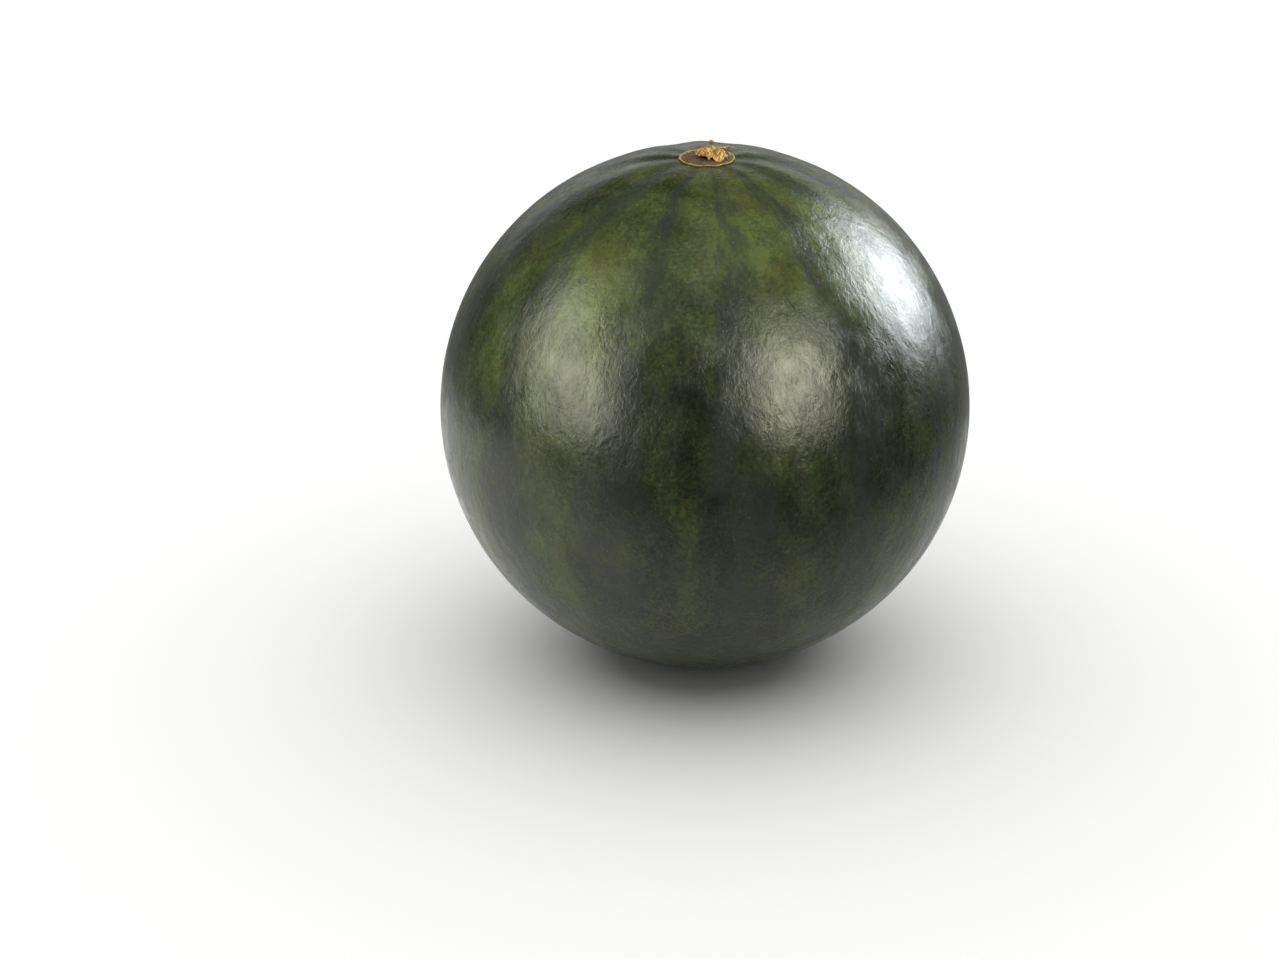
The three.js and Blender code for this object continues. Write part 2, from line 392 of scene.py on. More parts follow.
cube = add(tree, "GeometryNodeMeshCube", (2, 2, 2), RIND_CELLS, RIND_CELLS, RIND_CELLS)
place = add(tree, "GeometryNodeInputPosition")
angles = add(tree, "ShaderNodeVectorMath", place, into={"Scale": math.pi / 4}, operation="SCALE")
spread = add(tree, "ShaderNodeVectorMath", angles, operation="TANGENT")
unit = add(tree, "ShaderNodeVectorMath", spread, operation="NORMALIZE")
axes = add(tree, "ShaderNodeSeparateXYZ", unit)
flat = add(tree, "ShaderNodeVectorMath", unit, (1, 1, 0), operation="MULTIPLY")
ring = add(tree, "ShaderNodeVectorMath", flat, operation="NORMALIZE")
rim = add(tree, "ShaderNodeVectorMath", flat, operation="LENGTH").outputs["Value"]
from_axis = add(tree, "ShaderNodeMath", rim, half_width, operation="MULTIPLY")
turn = add(tree, "ShaderNodeMath", axes.outputs["Y"], axes.outputs["X"], operation="ARCTAN2")
fall = add(tree, "ShaderNodeMath", axes.outputs["Z"], operation="ARCCOSINE")

# Grooves: two waves round the crown, nudged sideways so that no two are alike.
nudge = add(tree, "ShaderNodeTexNoise", unit, into={"Scale": 1.6, "Detail": 2.0})
nudge = add(tree, "ShaderNodeMath", nudge, 0.5, operation="SUBTRACT")
nudged = add(tree, "ShaderNodeMath", nudge, 0.5, turn, operation="MULTIPLY_ADD")
tens = add(tree, "ShaderNodeMath", nudged, size["Groove Count"], operation="MULTIPLY")
first = add(tree, "ShaderNodeMath", tens, operation="COSINE")
fewer = add(tree, "ShaderNodeMath", size["Groove Count"], 4.0, operation="SUBTRACT")
sixes = add(tree, "ShaderNodeMath", nudged, fewer, operation="MULTIPLY")
second = add(tree, "ShaderNodeMath", sixes, operation="COSINE")
second = add(tree, "ShaderNodeMath", second, 0.4, operation="MULTIPLY")
wave = add(tree, "ShaderNodeMath", first, 0.6, second, operation="MULTIPLY_ADD")
sunk = add(tree, "ShaderNodeMath", wave, 0.42, 0.15, operation="MULTIPLY_ADD")
deepest = add(tree, "ShaderNodeMath", size["Groove Deepest"], operation="RADIANS")
reach = add(tree, "ShaderNodeMath", fall, deepest, operation="DIVIDE")
beyond = add(tree, "ShaderNodeMath", 1.0, reach, operation="SUBTRACT")
decay = add(tree, "ShaderNodeMath", beyond, operation="EXPONENT")
fade = add(tree, "ShaderNodeMath", reach, decay, operation="MULTIPLY")
fade = add(tree, "ShaderNodeMath", fade, 2.0, operation="POWER")
depth = add(tree, "ShaderNodeMath", fade, size["Groove Depth"], operation="MULTIPLY")
groove = add(tree, "ShaderNodeMath", sunk, depth, operation="MULTIPLY")

# Unevenness: the melon is a little oval, swells and dips over 60 mm, and has long ripples 7 mm
# wide down its flank.
doubled = add(tree, "ShaderNodeMath", turn, 2.0, operation="MULTIPLY")
oval = add(tree, "ShaderNodeMath", doubled, operation="COSINE")
oval = add(tree, "ShaderNodeMath", oval, -0.5, operation="MULTIPLY")
oval = add(tree, "ShaderNodeMath", oval, rim, operation="MULTIPLY")
swell = add(tree, "ShaderNodeTexNoise", unit, into={"Scale": 2.0, "Detail": 1.0})
swell = add(tree, "ShaderNodeMath", swell, 0.5, operation="SUBTRACT")
ripples = add(tree, "ShaderNodeTexNoise", along(tree, ring, fall, 2.4), into={"Scale": 6.5, "Detail": 3.0})
ripples = add(tree, "ShaderNodeMath", ripples, 0.5, operation="SUBTRACT")
inward = groove
for shape, amount in ((oval, "Ovality"), (swell, "Swell"), (ripples, "Ripple")):
    inward = add(tree, "ShaderNodeMath", shape, size[amount], inward, operation="MULTIPLY_ADD")
share = add(tree, "ShaderNodeMath", inward, half_width, operation="DIVIDE")
scale = add(tree, "ShaderNodeMath", 1.0, share, operation="SUBTRACT")
radii = add(tree, "ShaderNodeCombineXYZ", half_width, half_width, half_height)
body = add(tree, "ShaderNodeVectorMath", unit, radii, operation="MULTIPLY")
body = add(tree, "ShaderNodeVectorMath", body, into={"Scale": scale}, operation="SCALE")
spot = add(tree, "ShaderNodeSeparateXYZ", body)
height = add(tree, "ShaderNodeMath", spot.outputs["Z"], middle, operation="ADD")

# Stalk hollow and the pocket under the scar, on the upper half only.
half_spread = add(tree, "ShaderNodeMath", size["Hollow Spread"], 0.5, operation="MULTIPLY")
near = add(tree, "ShaderNodeMath", from_axis, half_spread, operation="DIVIDE")
bell = add(tree, "ShaderNodeMath", near, near, operation="MULTIPLY")
bell = add(tree, "ShaderNodeMath", bell, -1.0, operation="MULTIPLY")
bell = add(tree, "ShaderNodeMath", bell, operation="EXPONENT")
top = add(tree, "ShaderNodeMath", axes.outputs["Z"], 0.0, operation="GREATER_THAN")
dip = add(tree, "ShaderNodeMath", bell, size["Hollow Depth"], operation="MULTIPLY")
pocket_radius = add(tree, "ShaderNodeMath", size["Pocket Width"], 0.5, operation="MULTIPLY")
pocket_edge = add(tree, "ShaderNodeMath", pocket_radius, size["Pocket Slope"], operation="SUBTRACT")
pocket = add(tree, "ShaderNodeMapRange", from_axis, pocket_radius, pocket_edge, 0.0, 1.0,
             interpolation_type="SMOOTHSTEP")
dip = add(tree, "ShaderNodeMath", pocket, size["Pocket Depth"], dip, operation="MULTIPLY_ADD")
dip = add(tree, "ShaderNodeMath", dip, top, operation="MULTIPLY")
height = add(tree, "ShaderNodeMath", height, dip, operation="SUBTRACT")

# Resting spot, with the blossom dimple pressed up into it.
height = add(tree, "ShaderNodeMath", height, 0.0, size["Rest Rounding"], operation="SMOOTH_MAX")
blossom_radius = add(tree, "ShaderNodeMath", size["Blossom Width"], 0.5, operation="MULTIPLY")
dimple = add(tree, "ShaderNodeMapRange", from_axis, blossom_radius, 0.0, 0.0, 1.0,
             interpolation_type="SMOOTHSTEP")
under = add(tree, "ShaderNodeMath", 1.0, top, operation="SUBTRACT")
lift = add(tree, "ShaderNodeMath", under, size["Blossom Depth"], operation="MULTIPLY")
lift = add(tree, "ShaderNodeMath", dimple, lift, operation="MULTIPLY")
height = add(tree, "ShaderNodeMath", height, lift, operation="ADD")
skin = add(tree, "ShaderNodeCombineXYZ", spot.outputs["X"], spot.outputs["Y"], height)
shell = add(tree, "GeometryNodeSetPosition", cube, into={"Position": skin})
smooth = add(tree, "GeometryNodeSetShadeSmooth", shell)
end_tree(tree, smooth, waxed_rind)

rind = grown("melon_rind", tree, rind_sizes)
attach(rind, "root")
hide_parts("fruit")


# ---------------------------------------------------------------------------------------------
# Stem scar: the round plate of brown cork that sealed the joint when the stalk dried. It grew on
# the rind, sits in its pocket, and ends in a raised olive lip that lies on the skin all round.
# ---------------------------------------------------------------------------------------------

scar_low, scar_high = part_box("stem_scar")
SCAR_RADIUS = (scar_high[0] - scar_low[0]) / 2
LIP_WIDTH, LIP_HEIGHT, LIP_RISE, SEAT_GAP = 0.0011, 0.0004, 0.0005, 0.00008
NOSE_RISE, FOOT_RISE = 0.0003, 0.0004
FACE = scar_high[2] - LIP_RISE
CORK_BASE = FACE - 0.0002
UNDER_HUSK = (0.0008, -0.0028, FACE)
SCAR_TURNS, FACE_RINGS = 180, 24


def skinned(name, rings, material, first=None, last=None):
    """A mesh through equal rings of points, each end closed on its own point where one is given."""
    mesh = bpy.data.meshes.new(name)
    count = len(rings[0])
    points = [point for ring in rings for point in ring]
    faces = [(row * count + i, row * count + (i + 1) % count,
              (row + 1) * count + (i + 1) % count, (row + 1) * count + i)
             for row in range(len(rings) - 1) for i in range(count)]
    for pole, start, turned in ((first, 0, True), (last, len(points) - count, False)):
        if pole is not None:
            points.append(pole)
            tip = len(points) - 1
            sides = [(start + i, start + (i + 1) % count) for i in range(count)]
            faces += [(b, a, tip) if turned else (a, b, tip) for a, b in sides]
    mesh.from_pydata(points, [], faces)
    cleaned = bmesh.new()
    cleaned.from_mesh(mesh)
    bmesh.ops.recalc_face_normals(cleaned, faces=cleaned.faces)
    cleaned.to_mesh(mesh)
    mesh.shade_smooth()
    mesh.materials.append(material)
    return piece_of(name, mesh)


def rough(x, y, z, size, detail=3):
    """Fractal noise of about -1 to 1 whose largest lumps are this size."""
    return noise.fractal(Vector((x, y, z)) / size, 0.9, 2.1, detail)


def once_round(steps):
    """Equal steps once round, each as its angle with the angle's cosine and sine."""
    angles = [2 * math.pi * i / steps for i in range(steps)]
    return [(angle, math.cos(angle), math.sin(angle)) for angle in angles]


# Dry cork: dead, air-filled cells that split into radial fibres as they dried. Wholly matt, dark
# red-brown in the cracks and tan on the fibres; at the lip it is still olive-yellow living skin.
# The crumbs are 0.8 mm wide and the fibres 3 degrees apart, and under the husk the cork is darkened by a
# painted shadow.
dry_cork, tree, shader, where = finish_of("dry cork", 0.85)
flat = add(tree, "ShaderNodeVectorMath", where, (1, 1, 0), operation="MULTIPLY")
radius = add(tree, "ShaderNodeVectorMath", flat, operation="LENGTH").outputs["Value"]
spoke = add(tree, "ShaderNodeVectorMath", flat, operation="NORMALIZE")
spokes = add(tree, "ShaderNodeVectorMath", spoke, into={"Scale": 9.0}, operation="SCALE")
reach = add(tree, "ShaderNodeMath", radius, 260.0, operation="MULTIPLY")
reach = add(tree, "ShaderNodeCombineXYZ", 0.0, 0.0, reach)
outward = add(tree, "ShaderNodeVectorMath", spokes, reach, operation="ADD")
fibres = add(tree, "ShaderNodeTexNoise", outward, into={"Scale": 2.2, "Detail": 5.0, "Roughness": 0.7})
crumbs = add(tree, "ShaderNodeTexNoise", where, into={"Scale": 1300.0, "Detail": 4.0, "Roughness": 0.65})
both = add(tree, "ShaderNodeMath", crumbs, 0.4, operation="MULTIPLY")
both = add(tree, "ShaderNodeMath", fibres, 0.6, both, operation="MULTIPLY_ADD")
brown = add(tree, "ShaderNodeValToRGB", both)
ramp = brown.color_ramp
ramp.elements[0].position, ramp.elements[0].color = 0.38, linear("#1b0e0a")
ramp.elements[1].position, ramp.elements[1].color = 0.7, linear("#94703f")
for place, code in ((0.47, "#432a1d"), (0.57, "#66472c")):
    ramp.elements.new(place).color = linear(code)
# Painted shadow of the husk: the cork darkens towards a spot under the husk.
hidden = add(tree, "ShaderNodeVectorMath", where, UNDER_HUSK, operation="DISTANCE")
husk_shade = add(tree, "ShaderNodeMapRange", hidden.outputs["Value"], 0.0022, 0.0052, 0.3, 1.0)
darkened = add(tree, "ShaderNodeVectorMath", brown, into={"Scale": husk_shade}, operation="SCALE")
uneven = add(tree, "ShaderNodeMath", crumbs, 0.0016, radius, operation="MULTIPLY_ADD")
at_lip = add(tree, "ShaderNodeMapRange", uneven, SCAR_RADIUS - 0.0006, SCAR_RADIUS + 0.0003, 0.0, 1.0)
olive = add(tree, "ShaderNodeMix", fibres, into={"A": linear("#66630f"), "B": linear("#cfb62f")},
            data_type="RGBA")
worn = add(tree, "ShaderNodeTexNoise", where, into={"Scale": 210.0, "Detail": 4.0, "Roughness": 0.7})
scuffed = add(tree, "ShaderNodeMapRange", worn, 0.47, 0.62, 0.0, 0.75)
olive = add(tree, "ShaderNodeMix", scuffed, into={"A": olive, "B": linear("#4d4419")}, data_type="RGBA")
skin = add(tree, "ShaderNodeMix", at_lip, into={"A": darkened, "B": olive}, data_type="RGBA")
feed(tree, skin, shader.inputs["Base Color"])
relief = add(tree, "ShaderNodeBump", into={"Strength": 1.0, "Distance": 0.00025, "Height": both})
feed(tree, relief, shader.inputs["Normal"])

rind_tree = BVHTree.FromObject(rind, bpy.context.evaluated_depsgraph_get())
OVER_CROWN = 0.26


def rind_height(x, y):
    """The height of the rind's outside at this place on the crown."""
    return rind_tree.ray_cast(Vector((x, y, OVER_CROWN)), Vector((0, 0, -1)))[0].z


def scar_height(x, y):
    """The cork's height above the face: a low dome, a mound at the right and torn ridges."""
    r = math.hypot(x, y)
    turn = math.atan2(y, x)
    edge = max(0.0, 1 - (r / (SCAR_RADIUS - LIP_WIDTH)) ** 4)
    dome = 0.0007 * edge
    mound = 0.0021 * math.exp(-(math.hypot(x - 0.0090, y + 0.0002) / 0.0021) ** 2)
    ridges = 0.00028 * rough(3 * math.cos(turn), 3 * math.sin(turn), r * 130, 0.55)
    lumps = 0.0003 * rough(x, y, 0.0, 0.0016)
    return dome + (mound + ridges + lumps) * min(1.0, 2 * edge)


# The plate in rings from its underside, out over the rind, up over the lip and in across the face.
# Its outline wanders by about 1%, and the lip's hump swells and shrinks by a third.
inner = SCAR_RADIUS - LIP_WIDTH
profile = [("under", inner * 0.5), ("under", inner - 0.0013), ("seat", inner),
           ("seat", SCAR_RADIUS - 0.0003), ("nose", SCAR_RADIUS), ("lip", SCAR_RADIUS - 0.00015),
           ("lip", SCAR_RADIUS - 0.0005), ("lip", SCAR_RADIUS - 0.0009), ("face", inner - 0.0001)]
profile += [("face", inner * (1 - step / FACE_RINGS)) for step in range(1, FACE_RINGS)]
rings = []
for part, r in profile:
    ring = []
    for _, cosine, sine in once_round(SCAR_TURNS):
        wobble = 1 + 0.012 * rough(cosine, sine, 4.0, 0.9)
        x, y = r * wobble * cosine, r * wobble * sine
        swell = 1 + 0.35 * rough(cosine, sine, 9.0, 0.3)
        seat = rind_height(SCAR_RADIUS * wobble * cosine, SCAR_RADIUS * wobble * sine)
        lip_foot = 0.4 * FACE + 0.6 * (seat + FOOT_RISE)
        over_lip = min(1, (SCAR_RADIUS - r) / LIP_WIDTH + 0.15)
        hump = LIP_HEIGHT * swell * math.sin(math.pi * over_lip)
        heights = {"under": scar_low[2], "seat": rind_height(x, y) + SEAT_GAP,
                   "nose": seat + NOSE_RISE, "lip": lip_foot + hump,
                   "face": CORK_BASE + scar_height(x, y)}
        ring.append((x, y, heights[part]))
    rings.append(ring)
scar = skinned("scar_plate", rings, dry_cork, first=(0, 0, scar_low[2]),
               last=(0, 0, CORK_BASE + scar_height(0, 0)))
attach(scar, "root")
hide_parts("stem_scar")


# ---------------------------------------------------------------------------------------------
# Husk: the dry bark of the stalk, torn down in front and folded over the scar as one thin sheet.
# It is stiff plant fibre, still joined to the stalk's core along its crest, ragged at its edge.
# ---------------------------------------------------------------------------------------------

# The sheet's lines, in millimetres over the scar's face. Its left side starts a share LEAN of the
# way along the crest.
MM = 0.001
CREST = ((-4.9, 0.2, 2.4), (-3.4, 0.5, 3.9), (-0.2, 0.8, 4.5), (3.0, 0.8, 4.4), (6.2, 0.5, 3.7),
         (7.8, 0.2, 2.6), (9.0, -0.4, 1.2))
TORN_EDGE = ((-5.2, -1.0, 1.9), (-4.2, -2.4, 1.7), (-2.0, -2.8, 1.7), (-0.2, -3.7, 1.4),
             (0.8, -4.8, 0.6), (1.9, -4.3, 1.3), (3.2, -5.6, 0.9), (4.6, -6.9, 0.4),
             (5.8, -6.5, 0.5), (6.6, -6.3, 0.4), (7.6, -3.8, 0.9), (9.0, -1.8, 0.6))
BACK_EDGE = ((-3.4, 2.2, 0.5), (0.0, 3.3, 0.3), (4.0, 3.2, 0.3), (8.2, 1.6, 0.7))
LEAN, BULGE, FOLDS, CREASES = 0.24, 0.9, 0.7, 0.26
SHEET_THICKNESS, SHEET_LIFT = 0.0003, 0.0002
ACROSS, DOWN = 150, 44


def through(points, t):
    """The point a share t of the way along a smooth curve through these points."""
    t = min(max(t, 0.0), 1.0) * (len(points) - 1)
    i = min(int(t), len(points) - 2)
    t -= i
    a, b, c, d = (Vector(points[min(max(i + k, 0), len(points) - 1)]) for k in (-1, 0, 1, 2))
    return b + 0.5 * t * (c - a + t * (2 * a - 5 * b + 4 * c - d + t * (3 * (b - c) + d - a)))


# Dry bark: sun-bleached plant fibre with old resin in its folds. Low sheen, golden tan, with
# dark brown seams and pale fibres, half a millimetre wide and finer, that run down the sheet.
dry_bark, tree, shader, _ = finish_of("dry bark", 0.58)
sheet_map = add(tree, "ShaderNodeUVMap", uv_map="Fibre").outputs[0]
laid = add(tree, "ShaderNodeVectorMath", sheet_map, (1.0, 0.16, 1.0), operation="MULTIPLY")
strands = add(tree, "ShaderNodeTexNoise", laid, into={"Scale": 26.0, "Detail": 6.0, "Roughness": 0.68})
stains = add(tree, "ShaderNodeTexNoise", sheet_map, into={"Scale": 5.0, "Detail": 4.0, "Roughness": 0.6})
both = add(tree, "ShaderNodeMath", stains, 0.35, operation="MULTIPLY")
both = add(tree, "ShaderNodeMath", strands, 0.65, both, operation="MULTIPLY_ADD")
golden = add(tree, "ShaderNodeValToRGB", both)
ramp = golden.color_ramp
ramp.elements[0].position, ramp.elements[0].color = 0.39, linear("#2f1607")
ramp.elements[1].position, ramp.elements[1].color = 0.63, linear("#f3d27a")
for place, code in ((0.445, "#7c4a12"), (0.51, "#c08a28")):
    ramp.elements.new(place).color = linear(code)
feed(tree, golden, shader.inputs["Base Color"])
relief = add(tree, "ShaderNodeBump", into={"Strength": 1.0, "Distance": 0.00018, "Height": strands})
feed(tree, relief, shader.inputs["Normal"])

# The sheet runs from its back edge (down is -0.5) over the crest (0) to its torn edge (1).
husk_mesh = bpy.data.meshes.new("torn_husk")
husk_bm = bmesh.new()
fibre_map = husk_bm.loops.layers.uv.new("Fibre")
grid = []
for j in range(DOWN + 1):
    down = -0.5 + 1.5 * j / DOWN
    row = []
    for i in range(ACROSS + 1):
        across = i / ACROSS
        crest = through(CREST, across + LEAN * (1 - across))
        if down < 0:
            edge = through(BACK_EDGE, across)
            share = -2 * down
        else:
            edge = through(TORN_EDGE, across)
            edge += Vector((0, -0.5, -0.06)) * rough(across, 0, 3.0, 0.035)
            share = down
        outward = Vector((0, -0.5 if down > 0 else 0.6, 0.75))
        point = crest.lerp(edge, share) + outward * math.sin(math.pi * share) * BULGE
        fold = FOLDS * rough(across, down * 0.25, 5.0, 0.13, 2)
        fold += CREASES * rough(across, down * 0.2, 7.0, 0.035)
        point += Vector((0.15, -0.5, 0.8)) * fold * (0.35 + 0.65 * share)
        row.append(husk_bm.verts.new(point * MM + Vector((0, 0, FACE + SHEET_LIFT))))
    grid.append(row)
for j in range(DOWN):
    for i in range(ACROSS):
        face = husk_bm.faces.new((grid[j][i], grid[j + 1][i], grid[j + 1][i + 1], grid[j][i + 1]))
        for loop, (across, down) in zip(face.loops, ((i, j), (i, j + 1), (i + 1, j + 1), (i + 1, j))):
            loop[fibre_map].uv = (across / ACROSS, down / DOWN)
husk_bm.to_mesh(husk_mesh)
husk_mesh.shade_smooth()
husk_mesh.materials.append(dry_bark)
husk = piece_of("torn_husk", husk_mesh)
wall = husk.modifiers.new("thickness", "SOLIDIFY")
wall.thickness = SHEET_THICKNESS
wall.offset = -1
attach(husk, "root")
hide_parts("stem_stub")


# ---------------------------------------------------------------------------------------------
# Stalk core: the green inner stalk, broken off short. It is soft living wood with five ribs,
# grown through the husk, where its foot flares out and holds the husk down.
# ---------------------------------------------------------------------------------------------

# In millimetres over the scar's face: where the core stands, how it leans above LEAN_FROM, the
# height and radius of each ring, and where its broken top turns jagged and ends. It is a little
# flatter from front to back than it is wide.
CORE_TURNS = 48
CORE_PLACE, CORE_LEAN, LEAN_FROM = Vector((1.9, 0.9, 0.0)), Vector((-0.02, 0.05, 0.0)), 4
CORE_PROFILE = ((3.2, 2.0), (4.2, 1.95), (4.6, 1.7), (4.8, 1.3), (5.1, 0.95), (5.6, 0.75),
                (6.2, 0.7), (6.8, 0.78), (7.2, 0.88), (7.38, 0.84), (7.42, 0.68))
CORE_FOOT, JAGGED_FROM, CORE_TOP, TOP_SHIFT = CORE_PROFILE[0][0], 6.9, 7.25, 4
DEPTH_SHARE = 0.85

# Green stalk: moist living wood under a thin skin. Half glossy, olive with veins half a millimetre
# apart, a yellow-green flush on the flared foot, and straw-brown where the break has dried.
green_stalk, tree, shader, where = finish_of("green stalk", 0.45)
rise = add(tree, "ShaderNodeSeparateXYZ", where).outputs["Z"]
streak = add(tree, "ShaderNodeVectorMath", where, (1.0, 1.0, 0.25), operation="MULTIPLY")
veins = add(tree, "ShaderNodeTexNoise", streak, into={"Scale": 2200.0, "Detail": 4.0, "Roughness": 0.6})
dried = add(tree, "ShaderNodeMapRange", rise, FACE + 0.0062, FACE + 0.0074, 0.0, 1.0)
flushed = add(tree, "ShaderNodeMapRange", rise, FACE + 0.0056, FACE + 0.0044, 0.0, 0.6)
olive = add(tree, "ShaderNodeMix", veins, into={"A": linear("#23270a"), "B": linear("#7f7c26")},
            data_type="RGBA")
flush = add(tree, "ShaderNodeMix", flushed, into={"A": olive, "B": linear("#98952f")}, data_type="RGBA")
straw = add(tree, "ShaderNodeMix", veins, into={"A": linear("#5a3d18"), "B": linear("#c9a758")},
            data_type="RGBA")
stalk_skin = add(tree, "ShaderNodeMix", dried, into={"A": flush, "B": straw}, data_type="RGBA")
feed(tree, stalk_skin, shader.inputs["Base Color"])
relief = add(tree, "ShaderNodeBump", into={"Strength": 1.0, "Distance": 0.00012, "Height": veins})
feed(tree, relief, shader.inputs["Normal"])

rings = []
for z, r in CORE_PROFILE:
    ring = []
    for turn, cosine, sine in once_round(CORE_TURNS):
        rib = 1 + 0.13 * math.cos(5 * turn + 0.5) + 0.08 * rough(cosine, sine, z, 0.5)
        place = CORE_PLACE + CORE_LEAN * (z - LEAN_FROM)
        lift = 0.16 * rough(cosine, sine, 20.0, 0.35) if z > JAGGED_FROM else 0.0
        ring.append(((place.x + r * rib * cosine) * MM, (place.y + DEPTH_SHARE * r * rib * sine) * MM,
                     FACE + (z + lift) * MM))
    rings.append(ring)
top = CORE_PLACE + CORE_LEAN * TOP_SHIFT
core = skinned("stalk_core", rings, green_stalk,
               first=(CORE_PLACE.x * MM, CORE_PLACE.y * MM, FACE + CORE_FOOT * MM),
               last=(top.x * MM, top.y * MM, FACE + CORE_TOP * MM))
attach(core, "root")
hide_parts("stem_stub")


# ---------------------------------------------------------------------------------------------
# Side twig: the dried foot of a tendril, a short woody spur that leaves the core to the right and
# ends in a darker broken knob.
# ---------------------------------------------------------------------------------------------

# The twig's line, in millimetres over the scar, and its radius from end to end.
TWIG_LINE = ((3.2, 0.6, 3.9), (5.2, 0.2, 4.3), (6.6, 0.0, 4.55), (8.2, -0.2, 4.7), (9.3, -0.3, 5.0),
             (9.7, -0.3, 5.1))
TWIG_RADII = (0.55, 0.5, 0.42, 0.46, 0.62, 0.4)


def on_scar(point):
    """A point given in millimetres over the scar, in the frame."""
    return Vector(point) * MM + Vector((0, 0, FACE))


def spun(line, radii, steps, turns, bark):
    """Rings of points round a smooth line that is given in millimetres over the scar.

    bark is the share of the radius by which the surface is uneven.
    """
    rings = []
    for step in range(steps + 1):
        t = step / steps
        here = through(line, t)
        ahead = (through(line, min(1, t + 0.02)) - through(line, max(0, t - 0.02))).normalized()
        side = ahead.cross(Vector((0, 0, 1))).normalized()
        over = side.cross(ahead)
        thick = through([(r, 0, 0) for r in radii], t).x
        ring = []
        for _, cosine, sine in once_round(turns):
            radius = thick * (1 + bark * rough(cosine, sine, t * 3, 0.5))
            ring.append(on_scar(here + (side * cosine + over * sine) * radius))
        rings.append(ring)
    return rings


# Dry twig: the same plant fibre as the bark, barkless and weathered. Tan with darker seams 0.4 mm
# apart along it, and a red-brown broken end.
dry_twig, tree, shader, where = finish_of("dry twig", 0.6)
along_twig = add(tree, "ShaderNodeVectorMath", where, (0.3, 1.0, 1.0), operation="MULTIPLY")
seams = add(tree, "ShaderNodeTexNoise", along_twig,
            into={"Scale": 2400.0, "Detail": 4.0, "Roughness": 0.65})
tan = add(tree, "ShaderNodeValToRGB", seams)
ramp = tan.color_ramp
ramp.elements[0].position, ramp.elements[0].color = 0.36, linear("#5b3a17")
ramp.elements[1].position, ramp.elements[1].color = 0.64, linear("#d8b765")
across_twig = add(tree, "ShaderNodeSeparateXYZ", where).outputs["X"]
ended = add(tree, "ShaderNodeMapRange", across_twig, 0.0084, 0.0092, 0.0, 0.85)
knob = add(tree, "ShaderNodeMix", ended, into={"A": tan, "B": linear("#7a3f20")}, data_type="RGBA")
feed(tree, knob, shader.inputs["Base Color"])
relief = add(tree, "ShaderNodeBump", into={"Strength": 1.0, "Distance": 0.00012, "Height": seams})
feed(tree, relief, shader.inputs["Normal"])

twig = skinned("side_twig", spun(TWIG_LINE, TWIG_RADII, 30, 20, 0.22), dry_twig,
               first=on_scar(TWIG_LINE[0]), last=on_scar(Vector(TWIG_LINE[-1]) + Vector((0.12, 0, 0))))
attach(twig, "root")
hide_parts("stem_stub")


# ---------------------------------------------------------------------------------------------
# Loose strands: two ribs of the torn bark that stand free of the sheet and bend down over the cork
# at the right, and the thin end of a tendril beyond the twig. All three are bare straw fibre.
# ---------------------------------------------------------------------------------------------

# Each strand's line, in millimetres over the scar, and its radius from end to end.
STRANDS = {
    "rib_strand": (((5.9, 0.2, 4.1), (6.9, -1.2, 3.5), (7.9, -2.6, 2.1), (9.0, -3.4, 0.5)),
                   (0.2, 0.26, 0.2, 0.1)),
    "side_strand": (((7.4, 0.2, 2.9), (8.3, 0.1, 2.9), (9.2, -0.4, 2.5), (9.9, -1.2, 1.3)),
                    (0.16, 0.22, 0.18, 0.1)),
    "tendril_end": (((9.4, -0.2, 4.9), (10.4, 0.0, 4.6), (11.5, 0.2, 4.5), (12.6, 0.2, 4.1)),
                    (0.16, 0.12, 0.1, 0.05)),
}

# Straw fibre: bare bundles of plant fibre, pale and faintly silky where the bark has come away,
# mottled with tan every 0.6 mm.
straw_fibre, tree, shader, where = finish_of("straw fibre", 0.5)
lines = add(tree, "ShaderNodeTexNoise", where, into={"Scale": 1600.0, "Detail": 3.0, "Roughness": 0.6})
pale = add(tree, "ShaderNodeMix", lines, into={"A": linear("#7d571f"), "B": linear("#e3c477")},
           data_type="RGBA")
feed(tree, pale, shader.inputs["Base Color"])
relief = add(tree, "ShaderNodeBump", into={"Strength": 1.0, "Distance": 0.00006, "Height": lines})
feed(tree, relief, shader.inputs["Normal"])

for name, (line, radii) in STRANDS.items():
    strand = skinned(name, spun(line, radii, 24, 10, 0.25), straw_fibre,
                     first=on_scar(line[0]), last=on_scar(line[-1]))
    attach(strand, "root")
    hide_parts("stem_stub")


# ---------------------------------------------------------------------------------------------
# Torn fibres: short straw hairs, the husk's own bare fibres, left standing out of its ragged edge
# where it tore. They grow only on the low front of the sheet.
# ---------------------------------------------------------------------------------------------

fibre_sizes = {
    "Length": 0.0012,
    "Thickness": 0.00005,
    "Density": 900000,
    "Highest": FACE + 0.0017,
    "Nearest": -0.0026,
}
tree, size = new_tree("torn fibres", fibre_sizes)
sheet = add(tree, "GeometryNodeObjectInfo", into={"Object": husk}).outputs["Geometry"]
place = add(tree, "ShaderNodeSeparateXYZ", add(tree, "GeometryNodeInputPosition"))
low_down = add(tree, "FunctionNodeCompare", place.outputs["Z"], size["Highest"], operation="LESS_THAN")
in_front = add(tree, "FunctionNodeCompare", place.outputs["Y"], size["Nearest"], operation="LESS_THAN")
at_edge = add(tree, "FunctionNodeBooleanMath", low_down, in_front, operation="AND")
roots = add(tree, "GeometryNodeDistributePointsOnFaces", sheet,
            into={"Selection": at_edge, "Density": size["Density"], "Seed": 7})
hanging = add(tree, "ShaderNodeMath", size["Length"], -1.0, operation="MULTIPLY")
tip = add(tree, "ShaderNodeCombineXYZ", 0.0, 0.0, hanging)
hair = add(tree, "GeometryNodeCurvePrimitiveLine", into={"End": tip})
hair = add(tree, "GeometryNodeResampleCurve", hair, into={"Count": 6})
share = add(tree, "GeometryNodeSplineParameter").outputs["Factor"]
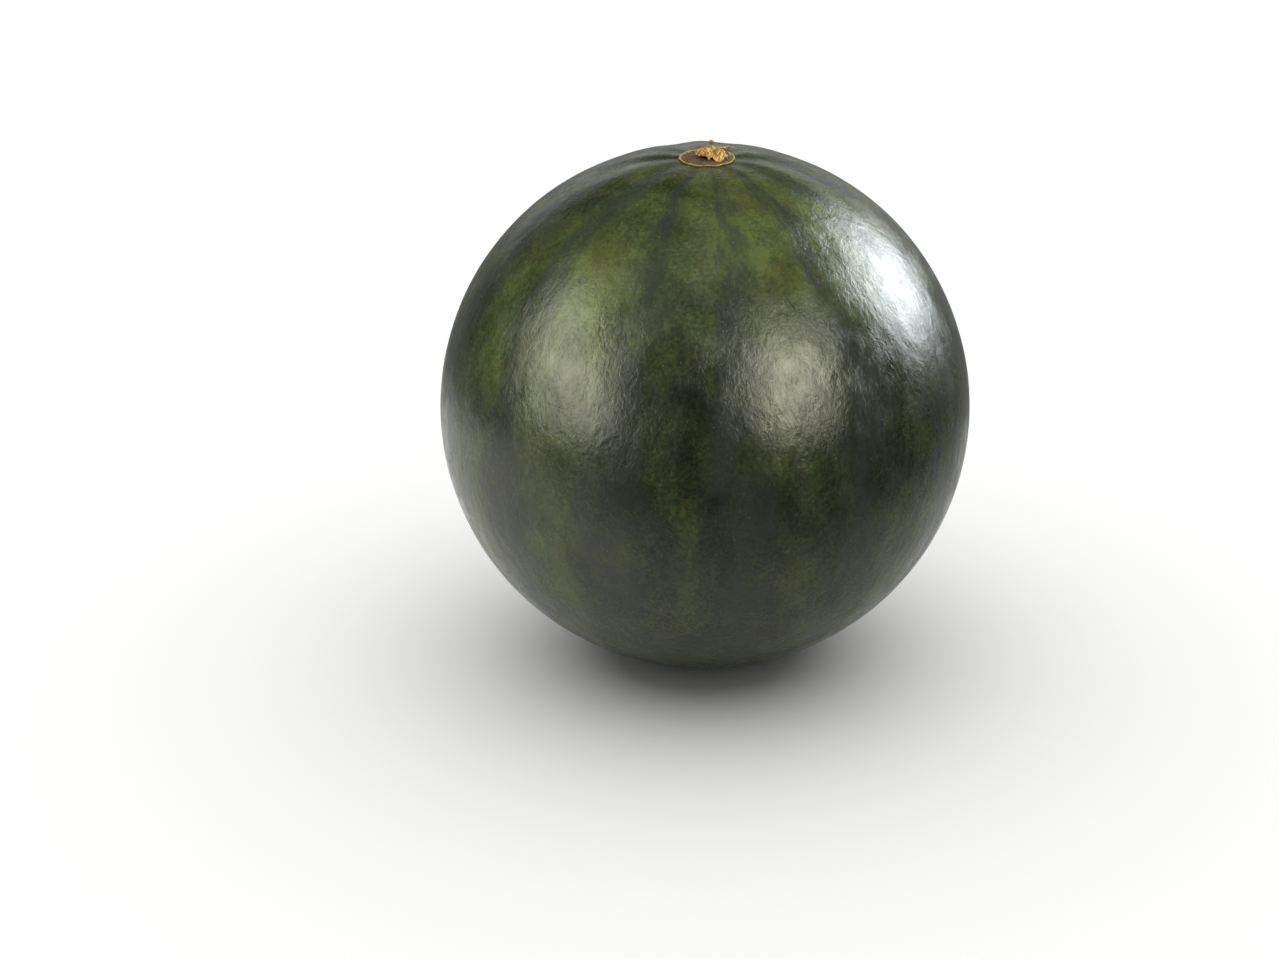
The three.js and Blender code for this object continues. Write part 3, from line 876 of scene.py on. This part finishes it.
squared = add(tree, "ShaderNodeMath", share, share, operation="MULTIPLY")
sideways = add(tree, "ShaderNodeMath", size["Length"], 0.35, operation="MULTIPLY")
curl = add(tree, "ShaderNodeMath", squared, sideways, operation="MULTIPLY")
curled = add(tree, "ShaderNodeCombineXYZ", curl)
hair = add(tree, "GeometryNodeSetPosition", hair, into={"Offset": curled})
taper = add(tree, "ShaderNodeMapRange", share, 0.0, 1.0, 1.0, 0.25)
hair = add(tree, "GeometryNodeSetCurveRadius", hair, into={"Radius": taper})
section = add(tree, "GeometryNodeCurvePrimitiveCircle", into={"Resolution": 5, "Radius": size["Thickness"]})
hair = add(tree, "GeometryNodeCurveToMesh", hair, section, into={"Fill Caps": True})
lean = add(tree, "FunctionNodeRandomValue", (-1.25, -0.3, -0.9), (-0.35, 0.3, 0.9),
           data_type="FLOAT_VECTOR", into={"Seed": 3})
grown_size = add(tree, "FunctionNodeRandomValue", 0.35, 1.0, data_type="FLOAT", into={"Seed": 5})
hairs = add(tree, "GeometryNodeInstanceOnPoints", roots,
            into={"Instance": hair, "Rotation": lean, "Scale": grown_size})
end_tree(tree, hairs, straw_fibre)
torn_fibres = grown("torn_fibres", tree, fibre_sizes)
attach(torn_fibres, "root")
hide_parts("stem_stub")


# ---------------------------------------------------------------------------------------------
# Blossom scar: the small cork button that closed the rind when the flower fell off. It is grown
# into the dimple under the melon, clear of the table.
# ---------------------------------------------------------------------------------------------

# BLOSSOM_STAND is the gap left over the table, and TIP_RADIUS the last small ring at the middle.
BLOSSOM_RADIUS, BLOSSOM_STAND, BLOSSOM_TOP, TIP_RADIUS = 0.0036, 0.00035, 0.0014, 0.00005
BUTTON_STEPS, BUTTON_TURNS = 12, 72

rings = []
for step in range(BUTTON_STEPS):
    angle = math.pi / 2 * step / BUTTON_STEPS
    height = BLOSSOM_TOP - (BLOSSOM_TOP - BLOSSOM_STAND) * math.sin(angle)
    ring = []
    for turn, cosine, sine in once_round(BUTTON_TURNS):
        star = 1 + 0.06 * math.cos(5 * turn) + 0.1 * rough(cosine, sine, 30.0, 0.5)
        r = BLOSSOM_RADIUS * math.cos(angle) * star
        crack = 0.00009 * rough(3 * cosine, 3 * sine, angle * 2, 0.4) * math.cos(angle)
        ring.append((r * cosine, r * sine, height + crack))
    rings.append(ring)
rings.append([(TIP_RADIUS * cosine, TIP_RADIUS * sine, BLOSSOM_STAND)
              for _, cosine, sine in once_round(BUTTON_TURNS)])
button = skinned("blossom_scar", rings, dry_cork, first=(0, 0, BLOSSOM_TOP), last=(0, 0, BLOSSOM_STAND))
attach(button, "root")
